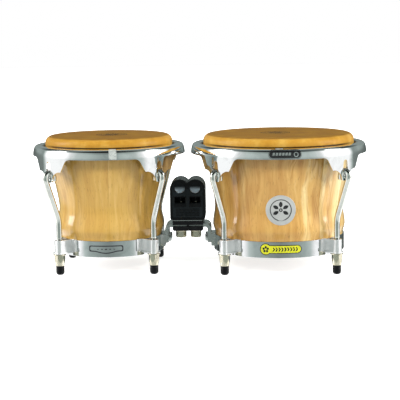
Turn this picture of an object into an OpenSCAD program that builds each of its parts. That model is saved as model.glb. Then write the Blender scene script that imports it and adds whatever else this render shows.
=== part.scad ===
// A pair of hand drums with rod tuning, joined by a centre block on a steel bridge.
// Millimetres, +Z up. The origin is on the floor, in the middle of the pair's box.

/* [Drums] */
// Distance between the two drum axes
drum_pitch = 233.1; // [230:0.1:240]
// Outside radius of the small drum's head
small_head_r = 87.2; // [86:0.1:88]
// Outside radius of the large drum's head
large_head_r = 103; // [102:0.1:104]
// Height of the playing surface above the floor
head_z = 183.5; // [182:0.5:186]
// Thickness of the skin
skin_t = 1.7; // [1.2:0.1:2]

/* [Shells] */
// Wall of the wooden shells
shell_wall = 9; // [7:0.5:11]
// Outside radius of the small shell inside its bottom band
small_foot_r = 70.8; // [70:0.1:72]
// Outside radius of the small shell's belly
small_belly_r = 74.4; // [73:0.1:76]
// Outside radius of the small shell's waist
small_waist_r = 70.6; // [70:0.1:72]
// Outside radius of the large shell inside its bottom band
large_foot_r = 88; // [87:0.1:89]
// Outside radius of the large shell's belly
large_belly_r = 91; // [90:0.1:92]
// Outside radius of the large shell's waist
large_waist_r = 88.2; // [87:0.1:89]

/* [Crowns] */
// Thickness of the crown's steel
crown_t = 2.6; // [2:0.1:3]
// How far the crown stands out from the head's side
crown_reach = 17.2; // [16:0.1:18]
// Height of the crown's lower edge between its ears
crown_edge_z = 158.3; // [157:0.1:160]
// Height of the lowest point of the ears
ear_tip_z = 126.5; // [125:0.5:128]
// Thickness of the round bar of the flesh hoop
hoop_bar_d = 6; // [5:0.5:7]

/* [Tuning rods] */
// Diameter of the rods
rod_d = 8; // [7.8:0.1:8.2]
// Lean of the rods between their two bends, in degrees
rod_lean = 20; // [18:1:22]
// Distance of the rods' lower ends outside the head's radius
rod_offset = 2.5; // [2:0.1:3]
// Width across flats of the tuning nuts
nut_af = 13; // [12.5:0.1:13.5]
// Length of the tuning nuts
nut_h = 14.4; // [13.5:0.1:15]
// Height of the rubber caps
cap_h = 12.4; // [12:0.1:12.6]
// Outside diameter of the rubber caps
cap_d = 11.3; // [11:0.1:12]

/* [Bottom bands] */
// Height of the bands' lower edge
band_z = 24.3; // [24:0.1:25]
// Height of the bands themselves
band_h = 22.1; // [20:0.1:23]
// Thickness of the bands' steel
band_t = 1.8; // [1.5:0.1:2]
// Thickness of the steel strap that the lugs are bent from
lug_t = 1.8; // [1.5:0.1:2]

/* [Centre block] */
// Width of the block
block_w = 48.3; // [46:0.1:50]
// Depth of the block, front to back
block_d = 44; // [40:1:46]
// Height of the block's top
block_top_z = 122.6; // [120:0.1:124]
// Width of the pads above and below the bridge
pad_w = 41.8; // [40:0.1:44]
// Width of the bridge's steel strap
strap_w = 38; // [34:1:40]
// Thickness of the bridge's steel strap
strap_t = 4.8; // [4:0.1:5]

/* [Hidden] */
$fn = 96;
eps = 0.01;

// Azimuths of the four lugs, from +X: front left, front right, back left, back right
FL = 225;
FR = 315;
BL = 135;
BR = 45;
FRONT = 270;

// The pair's box is centred on x = 0
half_width = (drum_pitch + small_head_r + large_head_r) / 2 + crown_reach;
small_x = -half_width + small_head_r + crown_reach;
large_x = small_x + drum_pitch;

// Shell profile: heights of its stations, and how far the flank has opened at two of them
shell_z = 25.3;
foot_top_z = 47.2;
belly_z = 60;
waist_z = 84;
flank_low_z = 110;
flank_high_z = 142;
collar_z = 165;
flank_low = 0.235;
flank_high = 0.73;
edge_r = 9;
edge_z = head_z - edge_r;
skin_gap = 0.3;
shell_edge_r = edge_r - skin_t - skin_gap;
collar_end_z = 159.5;

// Crown and flesh hoop
hoop_z = 161.4;
hoop_offset = 0.3 + hoop_bar_d / 2;
hoop_top_z = hoop_z + hoop_bar_d / 2;
crown_gap = 2.6;
roll_r = 4.2;
roll_z = 166.2;
brow_r = 3.4;
brow_offset = 11;
skirt_offset = crown_reach - crown_t / 2;

// Rods, with their hooks over the ears
rod_r = rod_d / 2;
rod_end_z = 2.5;
hook_r = 6.5;
hook_z = 132.4;
hook_tip_z = 127;
slot_low_z = hook_z + 2;
slot_low_r = 5;
slot_high_r = 3.7;
slot_high_z = 150.4;
hook_offset = skirt_offset + hook_r;
rod_bend_r = 45;
rod_neck_r = 12;
rod_neck_z = 129.4;
bend_tube_r = rod_r + 0.04;
rod_joint = 0.2;

// Nuts, washers and lugs, from the caps up
fit = 0.06;
nut_z = 12.5;
washer_t = 1.6;
washer_r = 8.8;
washer_z = nut_z + nut_h + 0.1;
shelf_t = 2.2;
shelf_z = washer_z + washer_t;
lug_z = shelf_z + shelf_t;
lug_h = 16.4;
lug_half = 6.4;
lug_flange = 8.5;
lug_overlap = 0.8;
lug_nose_r = 5;
rod_hole_r = 4.5;

// Bridge
bridge_x = (small_x + small_foot_r + band_t + large_x - large_foot_r - band_t) / 2;
strap_z = 56.4;
strap_top_z = strap_z + strap_t;
leg_x = 31.7;
leg_z = 34.8;
bend_in_r = 3.2;
saddle_z = 30;
saddle_h = 16;
screw_z = 40.5;
screw_y = 10;
screw_r = 3;
bolt_x = 10.3;
bolt_r = 4;
pad_d = block_d + 3;
block_z = 66.5;

function arc(c, r, a0, a1, n) =
    [for (i = [0:n]) let (a = a0 + (a1 - a0) * i / n) c + r * [cos(a), sin(a)]];

function unit(v) = v / norm(v);

// Direction square to path p at point i, on the left of its travel
function outward(p, i) = let (
        d = unit(p[min(i + 1, len(p) - 1)] - p[max(i - 1, 0)]))
    [-d[1], d[0]];

// Outline of a sheet of thickness t that follows path p
function sheet(p, t) = let (
        last = len(p) - 1,
        side = [for (i = [0:last]) outward(p, i) * t / 2])
    concat([for (i = [0:last]) p[i] + side[i]], [for (i = [last:-1:0]) p[i] - side[i]]);

// Stations [height, radius] of a shell
function stations(head_r, foot_r, belly_r, waist_r) = let (
        top_r = head_r - edge_r + shell_edge_r)
    [[shell_z, foot_r], [foot_top_z, foot_r], [belly_z, belly_r], [waist_z, waist_r],
     [flank_low_z, waist_r + flank_low * (top_r - waist_r)],
     [flank_high_z, waist_r + flank_high * (top_r - waist_r)],
     [collar_z, top_r], [edge_z, top_r]];

function slope(s, i) = i == 0 || i == len(s) - 1 ? 0
    : (s[i + 1][1] - s[i - 1][1]) / (s[i + 1][0] - s[i - 1][0]);

// Smooth curve through the stations, from station i to the next, at t between 0 and 1
function between(s, i, t) = let (
        w = s[i + 1][0] - s[i][0], t2 = t * t, t3 = t2 * t)
    [(2 * t3 - 3 * t2 + 1) * s[i][1] + (t3 - 2 * t2 + t) * w * slope(s, i)
        + (3 * t2 - 2 * t3) * s[i + 1][1] + (t3 - t2) * w * slope(s, i + 1),
     s[i][0] + w * t];

function flank(s, steps) = concat(
    [for (i = [0:len(s) - 2]) for (k = [0:steps - 1]) between(s, i, k / steps)],
    [between(s, len(s) - 2, 1)]);

function small_stations() = stations(small_head_r, small_foot_r, small_belly_r, small_waist_r);
function large_stations() = stations(large_head_r, large_foot_r, large_belly_r, large_waist_r);

module at_drum(x) { translate([x, 0, 0]) children(); }

// Places children, drawn with +X pointing out from the drum's axis, at an azimuth
module at_lug(x, azimuth) { at_drum(x) rotate([0, 0, azimuth]) children(); }

// ---- Shells and heads ----

module shell(head_r, s) {
    outside = flank(s, 4);
    inside = [for (p = outside) if (p[1] < collar_z + 8) p - [shell_wall, 0]];
    rotate_extrude() polygon(concat(
        outside,
        arc([head_r - edge_r, edge_z], shell_edge_r, 15, 90, 5),
        [[head_r - edge_r - 3, edge_z + shell_edge_r - 1.5]],
        [for (i = [len(inside) - 1:-1:0]) inside[i]]));
}

module screw_holes(side) {
    for (y = [-screw_y, screw_y])
        translate([bridge_x, y, screw_z]) rotate([0, side * 90, 0])
            cylinder(r = screw_r + fit, h = 60);
}

module small_shell() color("burlywood") difference() {
    at_drum(small_x) shell(small_head_r, small_stations());
    screw_holes(-1);
}

module large_shell() color("burlywood") difference() {
    at_drum(large_x) shell(large_head_r, large_stations());
    screw_holes(1);
}

module head(head_r) {
    rotate_extrude() polygon(concat(
        [[0, head_z]],
        arc([head_r - edge_r, edge_z], edge_r, 90, 0, 8),
        [[head_r, collar_end_z], [head_r - skin_t, collar_end_z]],
        arc([head_r - edge_r, edge_z], edge_r - skin_t, 0, 90, 8),
        [[0, head_z - skin_t]]));
}

module small_head() color("darkgoldenrod") at_drum(small_x) head(small_head_r);
module large_head() color("darkgoldenrod") at_drum(large_x) head(large_head_r);

module flesh_hoop(head_r) {
    rotate_extrude() translate([head_r + hoop_offset, hoop_z]) circle(d = hoop_bar_d, $fn = 32);
}

module small_flesh_hoop() color("silver") at_drum(small_x) flesh_hoop(small_head_r);
module large_flesh_hoop() color("silver") at_drum(large_x) flesh_hoop(large_head_r);

// ---- Crowns ----

// Section of the crown: up beside the head, over the top, and down the flared skirt
function crown_path(head_r) = concat(
    [[head_r + crown_gap, hoop_top_z]],
    arc([head_r + crown_gap + roll_r, roll_z], roll_r, 180, 95, 8),
    arc([head_r + brow_offset, roll_z + 0.2], brow_r, 85, 12, 7),
    [[head_r + skirt_offset, crown_edge_z]]);

// Half of an ear's outline, from the skirt's edge down to the tip
function ear_half() = let (top = crown_edge_z + 1) concat(
    [[0, top], [37, top], [37, crown_edge_z]],
    arc([37, crown_edge_z - 9], 9, 90, 146, 5),
    arc([20.6, 143.4], 2.6, -30, -75, 3),
    arc([20.6, ear_tip_z + 0.8], 14, 88, 172, 9),
    arc([3.7, ear_tip_z + 3], 3, -10, -90, 4),
    [[0, ear_tip_z]]);

function mirrored(p) = [for (i = [len(p) - 1:-1:0]) [-p[i][0], p[i][1]]];

// A slot with a round bottom and a narrower round top
module teardrop() {
    low = slot_low_z + slot_low_r;
    lean = asin((slot_low_r - slot_high_r) / (slot_high_z - low));
    polygon(concat(
        arc([0, low], slot_low_r, -180 - lean, lean, 16),
        arc([0, slot_high_z], slot_high_r, lean, 180 - lean, 10)));
}

// Stands a drawing of [sideways, up] on edge, facing +X, from radius r0 out to r1
module radial(r0, r1) {
    translate([r0, 0, 0]) rotate([90, 0, 90]) linear_extrude(r1 - r0) children();
}

module crown(head_r) {
    r = head_r + skirt_offset;
    rotate_extrude() polygon(sheet(crown_path(head_r), crown_t));
    difference() {
        intersection() {
            rotate_extrude() translate([r - crown_t / 2, ear_tip_z - 1])
                square([crown_t, crown_edge_z - ear_tip_z + 1.6]);
            union() for (a = [FL, FR, BL, BR]) rotate([0, 0, a]) radial(r - 15, r + 10)
                polygon(concat(ear_half(), mirrored(ear_half())));
        }
        for (a = [FL, FR, BL, BR]) rotate([0, 0, a]) radial(r - 15, r + 10) teardrop();
    }
}

module small_crown() color("lightgray") at_drum(small_x) crown(small_head_r);
module large_crown() color("lightgray") at_drum(large_x) crown(large_head_r);

// ---- Bottom bands and lugs ----

module band(foot_r) {
    rotate_extrude() polygon(concat(
        [[foot_r, band_z], [foot_r + band_t - 0.6, band_z]],
        arc([foot_r + band_t - 0.6, band_z + 0.6], 0.6, -90, 0, 3),
        arc([foot_r + band_t - 0.6, band_z + band_h - 0.6], 0.6, 0, 90, 3),
        [[foot_r, band_z + band_h]]));
}

module small_band() color("lightgray") difference() {
    at_drum(small_x) band(small_foot_r);
    screw_holes(-1);
}

module large_band() color("lightgray") difference() {
    at_drum(large_x) band(large_foot_r);
    screw_holes(1);
}

// Rectangle from x0 to x1, half as wide as half, with its two far corners rounded
module nose(x0, x1, half, r) {
    polygon(concat([[x0, -half]], arc([x1 - r, -half + r], r, -90, 0, 6),
        arc([x1 - r, half - r], r, 0, 90, 6), [[x0, half]]));
}

// A strap bent round the rod, with a flange each side on the band and a shelf for the nut
module lug(foot_r, rod_x) {
    r = foot_r + band_t;
    root = r + 0.6;
    flange_angle = (lug_half + lug_flange) / r * 180 / PI;
    difference() {
        union() {
            translate([0, 0, lug_z - lug_overlap]) linear_extrude(lug_h + lug_overlap)
                nose(root, rod_x + lug_half, lug_half, lug_nose_r);
            rotate([0, 0, -flange_angle]) rotate_extrude(angle = 2 * flange_angle)
                translate([r, lug_z - lug_overlap / 2]) square([lug_t, lug_h + lug_overlap / 4]);
            translate([0, 0, shelf_z]) linear_extrude(shelf_t)
                nose(root + 0.2, rod_x + lug_half + 1.2, lug_half + 1.2, 4);
        }
        translate([0, 0, lug_z]) linear_extrude(lug_h + 1)
            nose(r - 6, rod_x + lug_half - lug_t, lug_half - lug_t, lug_nose_r - lug_t);
        translate([rod_x, 0, shelf_z - 1]) cylinder(r = rod_hole_r, h = shelf_t + 2);
    }
}

module small_lug(a) color("lightgray") at_lug(small_x, a)
    lug(small_foot_r, small_head_r + rod_offset);
module large_lug(a) color("lightgray") at_lug(large_x, a)
    lug(large_foot_r, large_head_r + rod_offset);

module washer() {
    translate([0, 0, washer_z]) difference() {
        cylinder(r = washer_r, h = washer_t);
        translate([0, 0, -1]) cylinder(r = rod_hole_r, h = washer_t + 2);
    }
}

module washers(x, head_r) {
    for (a = [FL, FR, BL, BR]) at_lug(x, a) translate([head_r + rod_offset, 0, 0]) washer();
}

module small_washers() color("khaki") washers(small_x, small_head_r);
module large_washers() color("khaki") washers(large_x, large_head_r);

// ---- Tuning rods, nuts and caps ----

// A bend of the rod in the XZ plane, about centre c, between two angles
module bend(c, r, a0, a1) {
    translate([c[0], 0, c[1]]) rotate([90, 0, 0]) rotate([0, 0, a0])
        rotate_extrude(angle = a1 - a0) translate([r, 0]) circle(r = bend_tube_r, $fn = 48);
}

// A straight piece of the rod in the XZ plane, from p to q, reaching a little into the bends
module straight(p, q) {
    d = q - p;
    translate([p[0], 0, p[1]]) rotate([0, atan2(d[0], d[1]), 0])
        translate([0, 0, -rod_joint]) cylinder(r = rod_r, h = norm(d) + 2 * rod_joint, $fn = 48);
}

// The rod rises from the cap, leans out, straightens, and hooks in over the ear
module rod(head_r) {
    low_x = head_r + rod_offset;
    high_x = head_r + hook_offset;
    neck = [high_x - rod_neck_r, rod_neck_z + rod_neck_r * tan(rod_lean / 2)];
    low_corner_z = rod_neck_z - (high_x - low_x) / tan(rod_lean);
    knee = [low_x + rod_bend_r, low_corner_z - rod_bend_r * tan(rod_lean / 2)];
    knee_end = knee + rod_bend_r * [-cos(rod_lean), sin(rod_lean)];
    neck_start = neck + rod_neck_r * [cos(rod_lean), -sin(rod_lean)];
    hook = [high_x - hook_r, hook_z];
    translate([low_x, 0, rod_end_z]) cylinder(r1 = rod_r - 1, r2 = rod_r, h = 1, $fn = 48);
    straight([low_x, rod_end_z + 1 + rod_joint], [low_x, knee[1]]);
    bend(knee, rod_bend_r, 180 - rod_lean, 180);
    straight(knee_end, neck_start);
    bend(neck, rod_neck_r, -rod_lean, 0);
    straight([high_x, neck[1]], [high_x, hook_z]);
    bend(hook, hook_r, 0, 180);
    straight([high_x - 2 * hook_r, hook_tip_z + 1 + rod_joint], [high_x - 2 * hook_r, hook_z]);
    translate([high_x - 2 * hook_r, 0, hook_tip_z])
        cylinder(r1 = rod_r - 1, r2 = rod_r, h = 1, $fn = 48);
}

module small_rod(a) color("silver") at_lug(small_x, a) rod(small_head_r);
module large_rod(a) color("silver") at_lug(large_x, a) rod(large_head_r);

// A long hexagon nut whose lower end is turned to a taper
module nut(head_r) {
    translate([head_r + rod_offset, 0, nut_z]) difference() {
        intersection() {
            cylinder(d = nut_af / cos(30), h = nut_h, $fn = 6);
            cylinder(r1 = cap_d / 2 + 0.1, r2 = nut_af * 0.64, h = nut_h);
        }
        translate([0, 0, -1]) cylinder(r = rod_r + fit, h = nut_h + 2);
    }
}

module small_nut(a) color("khaki") at_lug(small_x, a) nut(small_head_r);
module large_nut(a) color("khaki") at_lug(large_x, a) nut(large_head_r);

// A rubber cap pushed on the rod's end: the drum's foot
module cap(head_r) {
    r = cap_d / 2;
    flat_r = 2;
    translate([head_r + rod_offset, 0, 0]) difference() {
        rotate_extrude() polygon(concat(
            [[0, 0]],
            arc([flat_r, r - flat_r], r - flat_r, -90, 0, 8),
            arc([r - 0.8, cap_h - 0.8], 0.8, 0, 90, 3),
            [[0, cap_h]]));
        translate([0, 0, rod_end_z]) cylinder(r1 = rod_r - 1, r2 = rod_r, h = 1, $fn = 48);
        translate([0, 0, rod_end_z + 1]) cylinder(r = rod_r, h = cap_h, $fn = 48);
    }
}

module small_cap(a) color("black") at_lug(small_x, a) cap(small_head_r);
module large_cap(a) color("black") at_lug(large_x, a) cap(large_head_r);

// ---- Badges on the large drum ----

badge_t = 0.9;

// Stadium of a given length and height, centred on a height
module stadium(length, height, z) {
    r = height / 2;
    polygon(concat(arc([length / 2 - r, z], r, -90, 90, 12),
        arc([r - length / 2, z], r, 90, 270, 12)));
}

// Cuts a sheet, drawn as a section, to an outline on the drum's front
module front_plate(x, section, r0, turn = 0) {
    at_lug(x, FRONT + turn) intersection() {
        rotate([0, 0, -40]) rotate_extrude(angle = 80) polygon(section);
        radial(r0, r0 + 30) children();
    }
}

module crown_badge() color("dimgray") {
    path = crown_path(large_head_r);
    front = [for (i = [12:18]) path[i] + (crown_t + badge_t + 0.1) / 2 * outward(path, i)];
    front_plate(large_x, sheet(front, badge_t), large_head_r, 2.4)
        stadium(43.5, 11, 164.8);
}

module shell_badge() color("gainsboro") {
    path = [for (p = flank(large_stations(), 4)) if (p[1] > 64 && p[1] < 113)
        p + [badge_t / 2 + 0.1, 0]];
    front_plate(large_x, sheet(path, badge_t), 80) translate([0, 88.6]) circle(r = 20);
}

module band_badge() color("yellow") {
    r = large_foot_r + band_t;
    z = 36.4;
    front_plate(large_x, [[r, z - 10], [r + badge_t, z - 10], [r + badge_t, z + 10], [r, z + 10]], 80)
        union() {
            stadium(55.4, 11.2, z);
            translate([-20.2, z]) circle(r = 7.8);
        }
}

// ---- Centre block and bridge ----

// Front outline of the block: two round lobes over a straight body
module block_outline(inset) {
    half = block_w / 2 - inset;
    lobe_x = 10.6;
    lobe_r = half - lobe_x;
    lobe_z = block_top_z - inset - lobe_r;
    low = block_z + inset;
    foot_r = 3.5;
    valley = acos(min(1, lobe_x / lobe_r));
    polygon(concat(
        arc([half - foot_r, low + foot_r], foot_r, -90, 0, 6),
        arc([lobe_x, lobe_z], lobe_r, 0, 180 - valley, 16),
        arc([-lobe_x, lobe_z], lobe_r, valley, 180, 16),
        arc([foot_r - half, low + foot_r], foot_r, 180, 270, 6)));
}

// Extrudes an [x, z] drawing along Y, from y0 to y1
module along_y(y0, y1) {
    translate([0, y1, 0]) rotate([90, 0, 0]) linear_extrude(y1 - y0) children();
}

panel_deep = 1;
socket_r = 6.9;
socket_z = 111;
pocket_w = 14.2;
pocket_z = 89.5;
pocket_h = 8.5;
rib_z = 72;

module centre_block() color("#1c1d1f") translate([bridge_x, 0, 0]) difference() {
    along_y(-block_d / 2, block_d / 2) block_outline(0);
    // Sunk panels, front and back, with raised rims, ledges and ribs left standing
    for (side = [0, 180]) rotate([0, 0, side]) {
        difference() {
            along_y(-block_d / 2 - 1, -block_d / 2 + panel_deep) block_outline(3.4);
            for (x = [-bolt_x, bolt_x]) {
                along_y(-block_d / 2, 0) translate([x, socket_z]) circle(r = socket_r + 1.6);
                along_y(-block_d / 2, 0) translate([x - pocket_w / 2 - 1.2, pocket_z - 5])
                    square([pocket_w + 2.4, pocket_h + 6.2]);
            }
            for (i = [0:4]) along_y(-block_d / 2 + 0.4, 0)
                translate([-16, rib_z + 2.2 * i]) square([32, 1.1]);
        }
        for (x = [-bolt_x, bolt_x])
            translate([x, 0, socket_z]) rotate([90, 0, 0])
                translate([0, 0, block_d / 2 - 13]) cylinder(r = socket_r, h = 14);
    }
    // Pockets for the captive nuts, open at the front, and the bolt holes up to them
    for (x = [-bolt_x, bolt_x]) {
        along_y(-block_d / 2 - 1, 8) translate([x - pocket_w / 2, pocket_z])
            square([pocket_w, pocket_h]);
        translate([x, 0, block_z - 1]) cylinder(r = bolt_r + 0.3, h = 38);
    }
}

module bolt_holes() {
    for (x = [-bolt_x, bolt_x]) translate([bridge_x + x, 0, 40]) cylinder(r = bolt_r + 0.3, h = 40);
}

plate_t = 1;

module clamp_plate() color("silver") difference() {
    translate([bridge_x - pad_w / 2 + 1, -pad_d / 2, block_z - plate_t])
        cube([pad_w - 2, pad_d, plate_t]);
    bolt_holes();
}

lip = 1.4;
pad_low_z = 51.7;

// A pad whose lips wrap the strap's two long edges
module pad(z0, z1, lip_z) {
    chamfer = 1.6;
    half = pad_w / 2;
    difference() {
        translate([bridge_x, 0, 0]) union() {
            along_y(-pad_d / 2, pad_d / 2) polygon([[chamfer - half, z0], [half - chamfer, z0],
                [half, z0 + chamfer], [half, z1], [-half, z1], [-half, z0 + chamfer]]);
            for (y = [-pad_d / 2, strap_w / 2 + 0.2])
                translate([-half, y, lip_z]) cube([pad_w, (pad_d - strap_w) / 2 - 0.2, lip + eps]);
        }
        bolt_holes();
    }
}

module upper_pad() color("#1c1d1f") union() {
    pad(strap_top_z, block_z - plate_t, strap_top_z - lip);
    // Locating nub that drops to the lower pad's lip
    translate([bridge_x - 1.6, -pad_d / 2, strap_z + lip + 0.2]) cube([3.2, 4, 3.4]);
}

module lower_pad() color("#1c1d1f") pad(pad_low_z, strap_z, strap_z - eps);

// Section of the bridge: flat under the block, bent down into a leg at each side
module strap_section() {
    out_r = bend_in_r + strap_t;
    inner = leg_x - strap_t;
    polygon(concat(
        [[-leg_x, leg_z]],
        arc([out_r - leg_x, strap_top_z - out_r], out_r, 180, 90, 8),
        arc([leg_x - out_r, strap_top_z - out_r], out_r, 90, 0, 8),
        [[leg_x, leg_z], [inner, leg_z]],
        arc([inner - bend_in_r, strap_z - bend_in_r], bend_in_r, 0, 90, 5),
        arc([bend_in_r - inner, strap_z - bend_in_r], bend_in_r, 90, 180, 5),
        [[-inner, leg_z]]));
}

module bridge_strap() color("gray") difference() {
    translate([bridge_x, 0, 0]) along_y(-strap_w / 2, strap_w / 2) strap_section();
    bolt_holes();
    screw_holes(-1);
    screw_holes(1);
}

// Filler between a flat leg and the round band
module saddle(side, x, foot_r) {
    reach = 11;
    difference() {
        translate([bridge_x + (side > 0 ? leg_x : -leg_x - reach), -strap_w / 2, saddle_z])
            cube([reach, strap_w, saddle_h]);
        translate([x, 0, saddle_z - 1]) cylinder(r = foot_r + band_t, h = saddle_h + 2);
        screw_holes(side);
    }
}

module small_saddle() color("silver") saddle(-1, small_x, small_foot_r);
module large_saddle() color("silver") saddle(1, large_x, large_foot_r);

screw_len = 32;

// Places children at the four bridge screws, with +Z pointing into the drum
module at_screws() {
    for (side = [-1, 1]) for (y = [-screw_y, screw_y])
        translate([bridge_x + side * (leg_x - strap_t), y, screw_z]) rotate([0, side * 90, 0])
            children();
}

module bridge_screws() color("silver") at_screws() {
    translate([0, 0, -3.6]) difference() {
        cylinder(r1 = 4.6, r2 = 5.2, h = 3.6);
        translate([0, 0, -1]) cylinder(d = 4.6, h = 3, $fn = 6);
    }
    cylinder(r = screw_r, h = screw_len);
}

module bridge_nuts() color("silver") at_screws() translate([0, 0, screw_len - 9]) difference() {
    union() {
        cylinder(d = 10 / cos(30), h = 5, $fn = 6);
        translate([0, 0, -1.5]) cylinder(r = 6, h = 1.5);
    }
    translate([0, 0, -2]) cylinder(r = screw_r, h = 9);
}

// Stack under the lower pad: flat washer, spring washer, bolt head
flat_t = 2;
spring_t = 1.8;
bolt_head_h = 8.4;
bolt_head_z = pad_low_z - flat_t - spring_t - bolt_head_h;

module at_bolts() {
    for (x = [-bolt_x, bolt_x]) translate([bridge_x + x, 0, 0]) children();
}

module block_bolts() color("khaki") at_bolts() {
    translate([0, 0, bolt_head_z]) intersection() {
        cylinder(d = 13 / cos(30), h = bolt_head_h, $fn = 6);
        cylinder(r1 = 6.3, r2 = 15, h = bolt_head_h);
    }
    translate([0, 0, bolt_head_z + bolt_head_h]) cylinder(r = bolt_r, h = 101 - bolt_head_z - bolt_head_h);
}

module block_washers() color("khaki") at_bolts() {
    translate([0, 0, pad_low_z - flat_t]) difference() {
        cylinder(r = 8.5, h = flat_t);
        translate([0, 0, -1]) cylinder(r = bolt_r + fit, h = 4);
    }
    translate([0, 0, pad_low_z - flat_t - spring_t]) difference() {
        cylinder(r = 6.8, h = spring_t);
        translate([0, 0, -1]) cylinder(r = bolt_r + fit, h = 4);
    }
}

module block_nuts() color("dimgray") at_bolts() translate([0, 0, pocket_z + 1]) difference() {
    rotate([0, 0, 30]) cylinder(d = 13 / cos(30), h = 6.5, $fn = 6);
    translate([0, 0, -1]) cylinder(r = bolt_r, h = 9);
}

small_shell();
small_head();
small_flesh_hoop();
small_crown();
small_band();
small_lug(FL);  // small_lug_fl
small_lug(FR);  // small_lug_fr
small_lug(BL);  // small_lug_bl
small_lug(BR);  // small_lug_br
small_washers();
small_rod(FL);  // small_rod_fl
small_rod(FR);  // small_rod_fr
small_rod(BL);  // small_rod_bl
small_rod(BR);  // small_rod_br
small_nut(FL);  // small_nut_fl
small_nut(FR);  // small_nut_fr
small_nut(BL);  // small_nut_bl
small_nut(BR);  // small_nut_br
small_cap(FL);  // small_cap_fl
small_cap(FR);  // small_cap_fr
small_cap(BL);  // small_cap_bl
small_cap(BR);  // small_cap_br
large_shell();
large_head();
large_flesh_hoop();
large_crown();
large_band();
large_lug(FL);  // large_lug_fl
large_lug(FR);  // large_lug_fr
large_lug(BL);  // large_lug_bl
large_lug(BR);  // large_lug_br
large_washers();
large_rod(FL);  // large_rod_fl
large_rod(FR);  // large_rod_fr
large_rod(BL);  // large_rod_bl
large_rod(BR);  // large_rod_br
large_nut(FL);  // large_nut_fl
large_nut(FR);  // large_nut_fr
large_nut(BL);  // large_nut_bl
large_nut(BR);  // large_nut_br
large_cap(FL);  // large_cap_fl
large_cap(FR);  // large_cap_fr
large_cap(BL);  // large_cap_bl
large_cap(BR);  // large_cap_br
crown_badge();
shell_badge();
band_badge();
centre_block();
clamp_plate();
upper_pad();
lower_pad();
bridge_strap();
small_saddle();
large_saddle();
bridge_screws();
bridge_nuts();
block_bolts();
block_washers();
block_nuts();
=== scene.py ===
import math

import bmesh
import bpy
from mathutils import Matrix, Vector


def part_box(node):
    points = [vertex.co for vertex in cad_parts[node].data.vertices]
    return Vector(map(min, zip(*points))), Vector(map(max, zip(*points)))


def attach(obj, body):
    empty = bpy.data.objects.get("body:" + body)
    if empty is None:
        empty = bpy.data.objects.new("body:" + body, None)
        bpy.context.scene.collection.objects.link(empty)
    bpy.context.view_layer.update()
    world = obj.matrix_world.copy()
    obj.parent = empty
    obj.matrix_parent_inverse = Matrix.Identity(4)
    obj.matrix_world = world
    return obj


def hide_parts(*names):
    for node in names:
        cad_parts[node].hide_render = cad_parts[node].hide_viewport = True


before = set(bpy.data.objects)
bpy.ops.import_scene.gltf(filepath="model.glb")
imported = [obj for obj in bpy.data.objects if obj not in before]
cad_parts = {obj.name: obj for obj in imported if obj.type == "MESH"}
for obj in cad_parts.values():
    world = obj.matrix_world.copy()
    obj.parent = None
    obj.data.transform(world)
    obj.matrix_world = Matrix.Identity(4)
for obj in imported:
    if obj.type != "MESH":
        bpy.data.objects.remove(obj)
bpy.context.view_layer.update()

MM = 0.001
DEG = math.pi / 180
FULL = 2 * math.pi
# Azimuths of the four ears, lugs and rods of a drum, and of its front
CORNERS = {"fl": 225, "fr": 315, "bl": 135, "br": 45}
FRONT = 270


# ---- Mesh building, in millimetres ----

def box_mm(node):
    lo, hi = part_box(node)
    return [c / MM for c in lo], [c / MM for c in hi]


def heights(node):
    lo, hi = box_mm(node)
    return lo[2], hi[2]


def half_width(node):
    lo, hi = box_mm(node)
    return (hi[0] - lo[0]) / 2


def arc(cx, cy, r, a0, a1, n):
    """Points on an arc, angles in degrees."""
    return [(cx + r * math.cos((a0 + (a1 - a0) * i / n) * DEG),
             cy + r * math.sin((a0 + (a1 - a0) * i / n) * DEG)) for i in range(n + 1)]


def circle(r, n, x=0.0, y=0.0):
    return [(x + r * math.cos(FULL * k / n), y + r * math.sin(FULL * k / n)) for k in range(n)]


def steps(a, b, n):
    """Points from a to b in n equal steps."""
    return [tuple(p + (q - p) * k / n for p, q in zip(a, b)) for k in range(n + 1)]


def at_height(points, z):
    return [(x, y, z) for x, y in points]


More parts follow.
